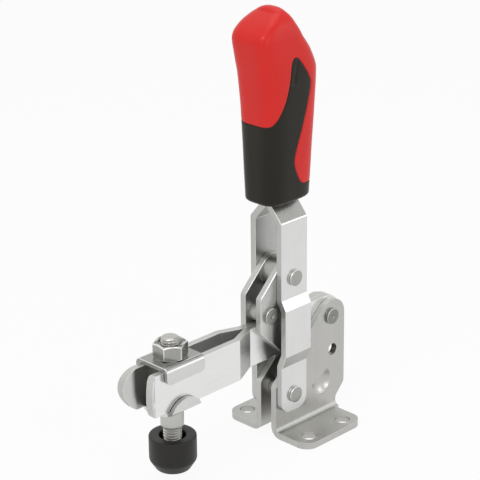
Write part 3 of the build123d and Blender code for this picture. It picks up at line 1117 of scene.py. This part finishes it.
@dataclass
class ClampScrew:
    """The clamping screw with its nut, washers, collar and rubber cap, in millimetres."""

    shop: Workshop
    thread: ScrewThread = field(default_factory=ScrewThread)
    segments: int = 72
    rows_per_pitch: int = 14
    last_gap: float = 0.01
    head_radius: float = 6.5
    head_bottom: float = 11.0
    head_top: float = 16.0
    head_edge: float = 0.5
    dome: float = 1.4
    dome_rise: float = 0.12
    across_flats: float = 13.0
    nut_turn: float = math.radians(25.6)
    nut_countersink: float = 0.9
    nut_face_inset: float = 0.15
    nut_chamfer_depth: float = 0.9
    nut_chamfer_rows: int = 16
    nut_side_start: float = 1.1
    nut_side_rows: int = 4
    nut_thread_rows: int = 64
    nut_segments: int = 216
    nut_play: float = 0.03
    bore_play: float = 0.05
    polish_highlight_width: float = 0.22
    collar_edge: float = 0.5
    cap_foot: float = 7.3
    cap_shoulder: float = 10.6
    cap_lip: float = 0.9
    cap_lip_drop: float = 0.1
    cap_mouth: float = 5.7
    cap_edge: float = 0.8
    cap_edge_steps: int = 6
    cap_segments: int = 96
    cap_play: float = 0.02
    washer_edge: float = 0.25

    def axis(self) -> Pair:
        """The x and y of the screw's axis."""
        low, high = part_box("screw_collar")
        return (low.x + high.x) / 2 / MM, 0.0

    def level(self, node: str) -> Pair:
        """The lowest and highest z of a node."""
        low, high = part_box(node)
        return low.z / MM, high.z / MM

    def spindle(self) -> None:
        """The screw: a round head, then a thread that runs out under the domed end.

        The radius is the thread's, held near the top under the dome, whose radius is
        R - d + sqrt(d^2 - (z - z0)^2), with z0 the height where the dome begins.
        """
        bottom, top = self.level("clamp_screw")
        core = self.thread.major / 2
        turn = np.linspace(0, 2 * np.pi, self.segments, endpoint=False)
        climb = self.thread.pitch / self.rows_per_pitch
        height = np.append(np.arange(self.head_top, top - self.last_gap, climb), top)
        rows = self.thread.radius(turn[None, :], height[:, None])
        over = np.clip(height - (top - self.dome), 0, self.dome)
        limit = core - self.dome + np.sqrt(np.maximum(self.dome**2 - over**2, 0))
        rows = np.minimum(rows, limit[:, None])
        corners = [(0.0, bottom), (self.head_radius, bottom), (self.head_radius, self.head_top)]
        head = rounded(corners, self.head_edge)
        head_rows = np.broadcast_to(head[:, :1], (len(head), self.segments))
        radius = np.concatenate([head_rows, rows, np.zeros((1, self.segments))])
        station = np.concatenate([head[:, 1], height, [top + self.dome_rise]])
        points = turned(radius, station, turn, self.axis(), Axis.Z)
        piece = make_mesh("clamp_screw_threaded", points, wrap_faces(*radius.shape))
        self.shop.fit(piece, Body.SCREW, Slot.SCREW, SCREW_STEEL, "clamp_screw")

    def nut(self) -> None:
        """The hexagon nut.

        Outside, the radius is the smaller of the hexagon's, (w / 2) / cos of the angle from
        the nearest flat, and a cone's, which opens from the chamfer circle on each end face.
        Inside runs the thread. Corners and chamfer rims carry a mask, exp(-(d / w)^2) of the
        distance to them, that the finish reads as worn polish and a painted highlight.
        """
        bottom, top = self.level("clamp_nut")
        turn = np.linspace(0, 2 * np.pi, self.nut_segments, endpoint=False) + self.nut_turn
        sixth = math.pi / 3
        half = self.across_flats / 2
        from_flat = np.mod(turn - self.nut_turn, sixth) - sixth / 2
        hexagon = half / np.cos(from_flat)
        chamfer = np.linspace(0, self.nut_chamfer_depth, self.nut_chamfer_rows)
        side = np.linspace(self.nut_side_start, (top - bottom) / 2, self.nut_side_rows)
        depth = np.concatenate([chamfer, side])
        height = np.concatenate([bottom + depth, (top - depth[::-1])[1:]])
        near = np.minimum(height - bottom, top - height)
        cone = half - self.nut_face_inset + near * math.sqrt(3)
        outside = np.minimum(hexagon[None, :], cone[:, None])
        to_corner = (sixth / 2 - np.abs(from_flat)) * half
        on_flat = cone[:, None] > hexagon[None, :]
        polish_and_highlight = np.exp(-((to_corner[None, :] / self.polish_highlight_width) ** 2)) * on_flat
        rim = np.exp(-(((cone[:, None] - hexagon[None, :]) / (2 * self.polish_highlight_width)) ** 2))
        sunk = self.nut_countersink
        steps = np.linspace(top - sunk, bottom + sunk, self.nut_thread_rows)
        wave = self.thread.radius(turn[None, :], steps[:, None]) + self.thread.depth + self.nut_play
        countersink = np.full((1, len(turn)), self.thread.major / 2 + self.bore_play + sunk)
        radius = np.concatenate([outside, countersink, wave, countersink])
        station = np.concatenate([height, [top], steps, [bottom]])
        points = turned(radius, station, turn, self.axis(), Axis.Z)
        piece = make_mesh("clamp_nut_hexagon", points, closed_lathe_faces(*radius.shape), merge=False)
        # Corners and rims are marked for worn polish and a painted highlight
        mask = np.zeros(radius.shape)
        mask[: len(outside)] = np.maximum(polish_and_highlight, rim)
        mark_polish_and_highlight(piece, mask)
        tidy_mesh(piece.data)
        piece.data.set_sharp_from_angle(angle=SOFT_TURN)
        self.shop.fit(piece, Body.SCREW_SET, Slot.SCREW, NUT_STEEL, "clamp_nut")
        # The nut's level end faces take the darker copy of its steel: painted shade
        piece.data.materials.append(self.shop.shelf.material(SHADED_NUT_END))
        on_end = np.abs(face_normals(piece.data)[:, 2]) > self.shop.level_face
        piece.data.polygons.foreach_set("material_index", on_end.astype(np.int32))

    def collar(self) -> None:
        """The round collar, with softened rims."""
        outer = radius_of("screw_collar")
        inner = self.thread.major / 2 + self.bore_play
        profile = ring_profile(outer, inner, *self.level("screw_collar"), self.collar_edge)
        piece = lathe("screw_collar_turned", profile, self.axis(), Axis.Z, closed=True)
        self.shop.fit(piece, Body.SCREW_SET, Slot.SCREW, COLLAR_STEEL, "screw_collar")

    def cap(self) -> None:
        """The rubber cap: a flared foot, a straight wall and a lip round the screw."""
        bottom, top = self.level("pressure_cap")
        outer = radius_of("pressure_cap")
        seat = self.head_radius + self.cap_play
        ceiling = self.head_top + self.cap_play
        floor = self.head_bottom - self.cap_play
        corners = [(0.0, bottom), (self.cap_foot, bottom), (outer, self.cap_shoulder)]
        corners += [(outer, top - self.cap_lip_drop), (outer - self.cap_lip, top), (self.cap_mouth, top)]
        corners += [(self.cap_mouth, ceiling), (seat, ceiling), (seat, floor), (0.0, floor)]
        profile = rounded(corners, self.cap_edge, self.cap_edge_steps)
        piece = lathe("pressure_cap_moulded", profile, self.axis(), Axis.Z, self.cap_segments)
        self.shop.fit(piece, Body.SCREW, Slot.CAP, CAP_RUBBER, "pressure_cap")

    def build(self) -> None:
        """Make the whole screw set."""
        self.spindle()
        self.nut()
        self.collar()
        self.cap()
        for washer in ("saddle_washer", "ear_washer"):
            self.shop.pressed(washer, Body.SCREW_SET, WASHER_SHEET, self.washer_edge)


@dataclass
class Grip:
    """The moulded grip: a hard core with a soft cover let into it, in millimetres.

    Each section gives its height, the x of its front and of its rear, half its width and the
    power of its superellipse. The outline is the cover's edge in the side view, as x and z.
    """

    shop: Workshop
    sections: tuple[tuple[float, ...], ...] = (
        (110.5, 24.3, -2.4, 9.8, 3.6),
        (130.0, 24.6, -3.1, 10.6, 3.8),
        (150.0, 25.5, -4.6, 11.1, 3.8),
        (166.0, 27.3, -5.7, 11.2, 3.8),
        (175.0, 28.8, -1.9, 11.0, 4.2),
        (182.0, 29.5, 3.6, 10.8, 4.8),
        (184.5, 28.7, 5.2, 10.5, 5.0),
        (188.0, 25.2, 7.6, 9.8, 4.6),
        (191.2, 20.2, 9.5, 8.1, 3.6),
        (192.6, 17.6, 10.7, 6.7, 2.8),
    )
    outline: tuple[Pair, ...] = (
        (60.0, 145.4),
        (26.0, 145.6),
        (24.0, 146.0),
        (22.3, 147.4),
        (20.1, 150.2),
        (17.1, 155.4),
        (15.6, 159.6),
        (14.2, 165.0),
        (13.6, 170.8),
        (12.4, 173.6),
        (10.4, 174.0),
        (7.9, 172.0),
        (2.2, 164.0),
        (1.3, 160.6),
        (4.4, 149.9),
        (7.4, 141.1),
        (11.1, 131.2),
        (11.2, 126.9),
        (7.8, 119.6),
        (6.0, 117.8),
        (2.7, 117.2),
        (-60.0, 117.2),
        (-60.0, 60.0),
        (60.0, 60.0),
    )
    crown_height: float = 194.5
    crown_start: float = math.radians(35)
    foot_rim: float = 1.6
    run_marks: tuple[float, ...] = (0.0, 0.04, 0.08, 0.93, 1.0)
    columns: int = 260
    rows: int = 300
    snap_reach: float = 0.5
    snap_step: float = 0.7
    snap_passes: int = 3
    normal_step: float = 1e-4
    pole_gap: float = 0.0005
    skin: float = 1.9
    skin_gap: float = 0.1
    skin_slope: float = 0.4
    seam_depth: float = 0.22
    seam_width: float = 0.28
    slot_ends: tuple[Pair, Pair] = ((12.1, 163.2), (10.0, 171.6))
    slot_radius: float = 0.75
    slot_depth: float = 0.35
    slot_wall: float = 0.3
    slot_steepest: float = 50.0

    def surface(self, turn: np.ndarray, run: np.ndarray) -> np.ndarray:
        """Point of the grip for an angle and a run from the foot's centre (0) to the crown's (1).

        The section is the superellipse |x/a|^n + |y/b|^n = 1 in polar form, with a, b, n and
        its centre smooth curves of the height. The run first crosses the foot, then rounds
        its rim, climbs the side, and closes over the crown as the last part of an ellipse.

        Args:
            turn: Angle, in radians.
            run: Place along the profile, 0 to 1.

        Returns:
            Points, in millimetres.
        """
        table = np.array(self.sections)
        foot, top = table[0, 0], table[-1, 0]
        rim = self.foot_rim
        start = self.crown_start
        part = np.interp(run, self.run_marks, np.arange(len(self.run_marks)))
        swing = np.clip(part - 1, 0, 1) * np.pi / 2
        side = np.clip(part - 2, 0, 1)
        close = start + np.clip(part - 3, 0, 1) * (np.pi / 2 - start)
        height = foot + rim * (1 - np.cos(swing)) + side * (top - foot - rim)
        climb = (np.sin(close) - math.sin(start)) / (1 - math.sin(start))
        height = np.where(part > 3, top + (self.crown_height - top) * climb, height)
        level = np.clip(height, foot, top)
        front, rear, half, power = (monotone(level, table[:, 0], column) for column in table.T[1:])
        inset = rim * (1 - np.sin(swing))
        scale = np.where(part < 1, part, 1.0) * np.cos(close) / math.cos(start)
        deep = np.maximum(((front - rear) / 2 - inset) * scale, LEAST_WIDTH)
        wide = np.maximum((half - inset) * scale, LEAST_WIDTH)
        sides = np.abs(np.cos(turn) / deep) ** power + np.abs(np.sin(turn) / wide) ** power
        polar = sides ** (-1 / power)
        centre = (front + rear) / 2
        return np.stack([centre + polar * np.cos(turn), polar * np.sin(turn), height + 0 * turn], axis=-1)

    def smooth_outline(self) -> np.ndarray:
        """The outline with its corners cut twice, a quarter of each run at a time.

        Returns:
            Its points, as x and z.
        """
        pts = np.array(self.outline)
        for _ in range(2):
            after = np.roll(pts, -1, axis=0)
            pts = np.stack([0.75 * pts + 0.25 * after, 0.25 * pts + 0.75 * after], axis=1).reshape(-1, 2)
        return pts

    def distance(self, points: np.ndarray) -> np.ndarray:
        """Signed distance in the side view from the cover's outline, below zero on the cover.

        The length is the shortest to any run of the outline, and the sign comes from how often
        a level ray crosses it.

        Args:
            points: Points of the surface, in millimetres.

        Returns:
            The distances, in millimetres.
        """
        flat = points.reshape(-1, 3)[:, (0, 2)]
        start = self.smooth_outline()
        end = np.roll(start, -1, axis=0)
        best = np.full(len(flat), np.inf)
        inside = np.zeros(len(flat), bool)
        for a, b in zip(start, end):
            run = b - a
            t = np.clip(((flat - a) @ run) / max(run @ run, LEAST_LENGTH), 0, 1)
            best = np.minimum(best, np.linalg.norm(flat - a - t[:, None] * run, axis=1))
            crosses = (a[1] > flat[:, 1]) != (b[1] > flat[:, 1])
            level = a[0] + (flat[:, 1] - a[1]) / (run[1] if run[1] else LEAST_LENGTH) * run[0]
            inside ^= crosses & (flat[:, 0] < level)
        return np.where(inside, -best, best).reshape(points.shape[:-1])

    def snapped(self) -> tuple[np.ndarray, np.ndarray]:
        """The grid of the grip, with the points nearest to the outline moved onto it.

        A point moves by -d g / |g|^2, where d is its distance and g the slope of d over the
        grid, as long as that is within half a cell.

        Returns:
            The angle and the run of each grid point.
        """
        turn_step = 2 * np.pi / self.columns
        run_step = 1 / (self.rows - 1)
        turn, run = np.meshgrid(np.arange(self.columns) * turn_step, np.linspace(0, 1, self.rows))
        near = self.distance(self.surface(turn, run))
        padded = np.concatenate([near[:, -1:], near, near[:, :1]], axis=1)
        slope_turn = (padded[:, 2:] - padded[:, :-2]) / 2
        slope_run = np.gradient(near, axis=0)
        size = np.maximum(slope_turn**2 + slope_run**2, LEAST_SLOPE)
        chosen = np.abs(near) / np.sqrt(size) < self.snap_reach
        most = self.snap_step
        for _ in range(self.snap_passes):
            near = self.distance(self.surface(turn, run))
            move = np.where(chosen, -near / size, 0)
            turn = turn + np.clip(move * slope_turn, -most, most) * turn_step
            run = np.clip(run + np.clip(move * slope_run, -most, most) * run_step, 0, 1)
        return turn, run

    def normals(self, turn: np.ndarray, run: np.ndarray) -> np.ndarray:
        """Outward unit normals, from the cross product of the surface's two slopes.

        Args:
            turn: Angle of each point.
            run: Run of each point, held a little off both ends, where the slopes vanish.

        Returns:
            The normals.
        """
        step = self.normal_step
        low, middle, high = (
            np.clip(run + shift, self.pole_gap, 1 - self.pole_gap) for shift in (-step, 0, step)
        )
        along = self.surface(turn, high) - self.surface(turn, low)
        around = self.surface(turn + step, middle) - self.surface(turn - step, middle)
        normal = np.cross(around, along)
        return normal / np.maximum(np.linalg.norm(normal, axis=-1, keepdims=True), LEAST_LENGTH)

    def slot(self, points: np.ndarray) -> np.ndarray:
        """Depth of the oblong slot let into the cover's tongue on each side.

        It is the slot's depth times 1 / (1 + exp((d - r) / (w / 4))), with d the distance in
        the side view to the slot's middle line, r its radius and w the width of its wall.

        Args:
            points: Points of the surface, in millimetres.

        Returns:
            The depths, in millimetres.
        """
        start, end = np.array(self.slot_ends)
        run = end - start
        flat = points[..., (0, 2)] - start
        t = np.clip((flat @ run) / (run @ run), 0, 1)
        away = np.linalg.norm(flat - t[..., None] * run, axis=-1)
        steep = (away - self.slot_radius) / (self.slot_wall / 4)
        return self.slot_depth / (1 + np.exp(np.clip(steep, -self.slot_steepest, self.slot_steepest)))

    def build(self) -> None:
        """Make the core and the cover from one surface, parted along the outline.

        The core is sunk under the cover by the skin. Both turn in a little at the seam, by
        the seam's depth times exp(-(d / w)^2).
        """
        turn, run = self.snapped()
        points = self.surface(turn, run)
        normal = self.normals(turn, run)
        away = self.distance(points)
        seam = self.seam_depth * np.exp(-((away / self.seam_width) ** 2))
        faces = wrap_faces(self.rows, self.columns)
        on_cover = away.reshape(-1)[faces].mean(axis=1) < 0
        sunk = np.maximum(seam, np.clip(-away / self.skin_slope, 0, 1) * self.skin)
        core = make_mesh("grip_core_moulded", points - normal * sunk[..., None], faces)
        self.shop.fit(core, Body.HANDLE, Slot.GRIP, GRIP_PLASTIC, "grip_core")
        pressed_in = seam + self.slot(points)
        cover = make_mesh("grip_cover_moulded", points - normal * pressed_in[..., None], faces[on_cover])
        wall = cover.modifiers.new("skin", "SOLIDIFY")
        wall.thickness = (self.skin - self.skin_gap) * MM
        wall.offset = -1
        self.shop.fit(cover, Body.HANDLE, Slot.COVER, COVER_PLASTIC, "grip_cover")


# Studio


@dataclass(frozen=True)
class SoftBox:
    """A soft lamp: its place and size in metres, and its power in watts."""

    name: str
    place: Triple
    side: float
    power: float


@dataclass
class Studio:
    """Camera, lamps, floor and world, in metres, with the lens and its sensor in millimetres."""

    place: Triple = (0.53999, 0.50452, 0.37981)
    aim: Triple = (-0.01154, -0.04506, 0.07198)
    roll: float = math.radians(-0.663)
    lens: float = 137.117
    sensor: float = 36.0
    clip: Pair = (0.05, 10.0)
    lamps: tuple[SoftBox, ...] = (
        SoftBox("key", (0.55, 0.15, 0.75), 0.30, 1.8),
        SoftBox("fill", (0.1, 0.8, 0.35), 0.40, 0.7),
        SoftBox("top", (-0.1, -0.1, 0.9), 0.50, 1.0),
        SoftBox("side", (-0.60, 0.60, 0.31), 0.34, 0.45),
    )
    lit_point: Triple = (0.02, 0.0, 0.09)
    floor_half: float = 3.0
    floor_drop: float = 0.0002
    floor_colour: float = 0.96
    floor_rough: float = 0.9
    floor_gloss: float = 0.1
    floor_white: float = 0.92
    floor_mirrored: float = 0.65
    even_light: float = 0.5

    def camera(self) -> None:
        """The camera at the photograph's viewing angle."""
        data = bpy.data.cameras.new("camera")
        data.lens = self.lens
        data.sensor_width = self.sensor
        data.clip_start, data.clip_end = self.clip
        obj = bpy.data.objects.new("camera", data)
        bpy.context.scene.collection.objects.link(obj)
        place = Vector(self.place)
        back = (place - Vector(self.aim)).normalized()
        level = Vector((0, 0, 1)).cross(back).normalized()
        upright = back.cross(level)
        c, s = math.cos(self.roll), math.sin(self.roll)
        right, up = level * c + upright * s, upright * c - level * s
        columns = (right.to_4d(), up.to_4d(), back.to_4d(), place.to_4d())
        for column in columns[:3]:
            column.w = 0.0
        obj.matrix_world = Matrix(columns).transposed()
        bpy.context.scene.camera = obj

    def lamp(self, box: SoftBox) -> None:
        """Hang a soft box so that it looks at the middle of the clamp.

        Args:
            box: The soft box.
        """
        data = bpy.data.lights.new(box.name, "AREA")
        data.shape = "RECTANGLE"
        data.size = data.size_y = box.side
        data.energy = box.power
        obj = bpy.data.objects.new(box.name, data)
        bpy.context.scene.collection.objects.link(obj)
        obj.location = box.place
        towards = Vector(self.lit_point) - Vector(box.place)
        obj.rotation_euler = towards.to_track_quat("-Z", "Y").to_euler()

    def seen(self, net: Net) -> tuple[bpy.types.NodeSocket, bpy.types.NodeSocket]:
        """Whether a ray comes straight from the camera, and whether by way of metal or glass."""
        path = net.add("ShaderNodeLightPath").outputs
        return path["Is Camera Ray"], net.math("MAXIMUM", path["Is Glossy Ray"], path["Is Transmission Ray"])

    def blend(
        self, net: Net, factor: bpy.types.NodeSocket, lit: bpy.types.Node, white: bpy.types.Node
    ) -> bpy.types.NodeSocket:
        """Show a plain white in place of the lit surface, by a factor.

        Args:
            net: The net of the floor or of the world.
            factor: How much of the white shows, 0 to 1.
            lit: The shader of the lit surface.
            white: The shader of the white.

        Returns:
            The blended shader.
        """
        mix = net.add("ShaderNodeMixShader")
        for socket, value in zip(mix.inputs, (factor, lit.outputs[0], white.outputs[0])):
            net.put(socket, value)
        return mix.outputs[0]

    def floor(self) -> None:
        """A wide pale floor that keeps the clamp's shadow and reads white to the camera."""
        half = self.floor_half
        corners = [(-half, -half, 0), (half, -half, 0), (half, half, 0), (-half, half, 0)]
        mesh = bpy.data.meshes.new("floor")
        mesh.from_pydata(corners, [], [(0, 1, 2, 3)])
        obj = bpy.data.objects.new("floor", mesh)
        bpy.context.scene.collection.objects.link(obj)
        obj.location.z = -self.floor_drop
        material = bpy.data.materials.new("floor_white")
        material.use_nodes = True
        net = Net(material.node_tree)
        shader = material.node_tree.nodes["Principled BSDF"]
        shader.inputs["Base Color"].default_value = (*(self.floor_colour,) * 3, 1)
        shader.inputs["Roughness"].default_value = self.floor_rough
        shader.inputs["Specular IOR Level"].default_value = self.floor_gloss
        white = net.add("ShaderNodeEmission", Color=WHITE, Strength=1.0)
        straight, mirrored = self.seen(net)
        straight = net.math("MULTIPLY", straight, self.floor_white)
        mirrored = net.math("MULTIPLY", mirrored, self.floor_mirrored)
        surface = self.blend(net, net.math("MAXIMUM", straight, mirrored), shader, white)
        net.put(material.node_tree.nodes["Material Output"].inputs["Surface"], surface)
        mesh.materials.append(material)

    def world(self) -> None:
        """An even surround that lights the clamp softly and is seen as white."""
        world = bpy.data.worlds.new("studio")
        world.use_nodes = True
        bpy.context.scene.world = world
        world.node_tree.nodes.clear()
        net = Net(world.node_tree)
        even = net.add("ShaderNodeBackground", Color=WHITE, Strength=self.even_light)
        white = net.add("ShaderNodeBackground", Color=WHITE, Strength=1.0)
        surface = self.blend(net, net.math("MAXIMUM", *self.seen(net)), even, white)
        net.put(net.add("ShaderNodeOutputWorld").inputs["Surface"], surface)

    def build(self) -> None:
        """Set up the whole studio."""
        self.camera()
        for box in self.lamps:
            self.lamp(box)
        self.floor()
        self.world()
        bpy.context.scene.view_settings.view_transform = "Standard"


def main() -> None:
    """Load the frame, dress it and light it."""
    logging.basicConfig(level=logging.INFO, format="%(message)s")
    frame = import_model()
    shop = Workshop(frame["nodes"], FinishShelf())
    Plates(shop).build()
    Riveting(shop).build()
    ClampScrew(shop).build()
    Grip(shop).build()
    Studio().build()


if __name__ == "__main__":
    main()
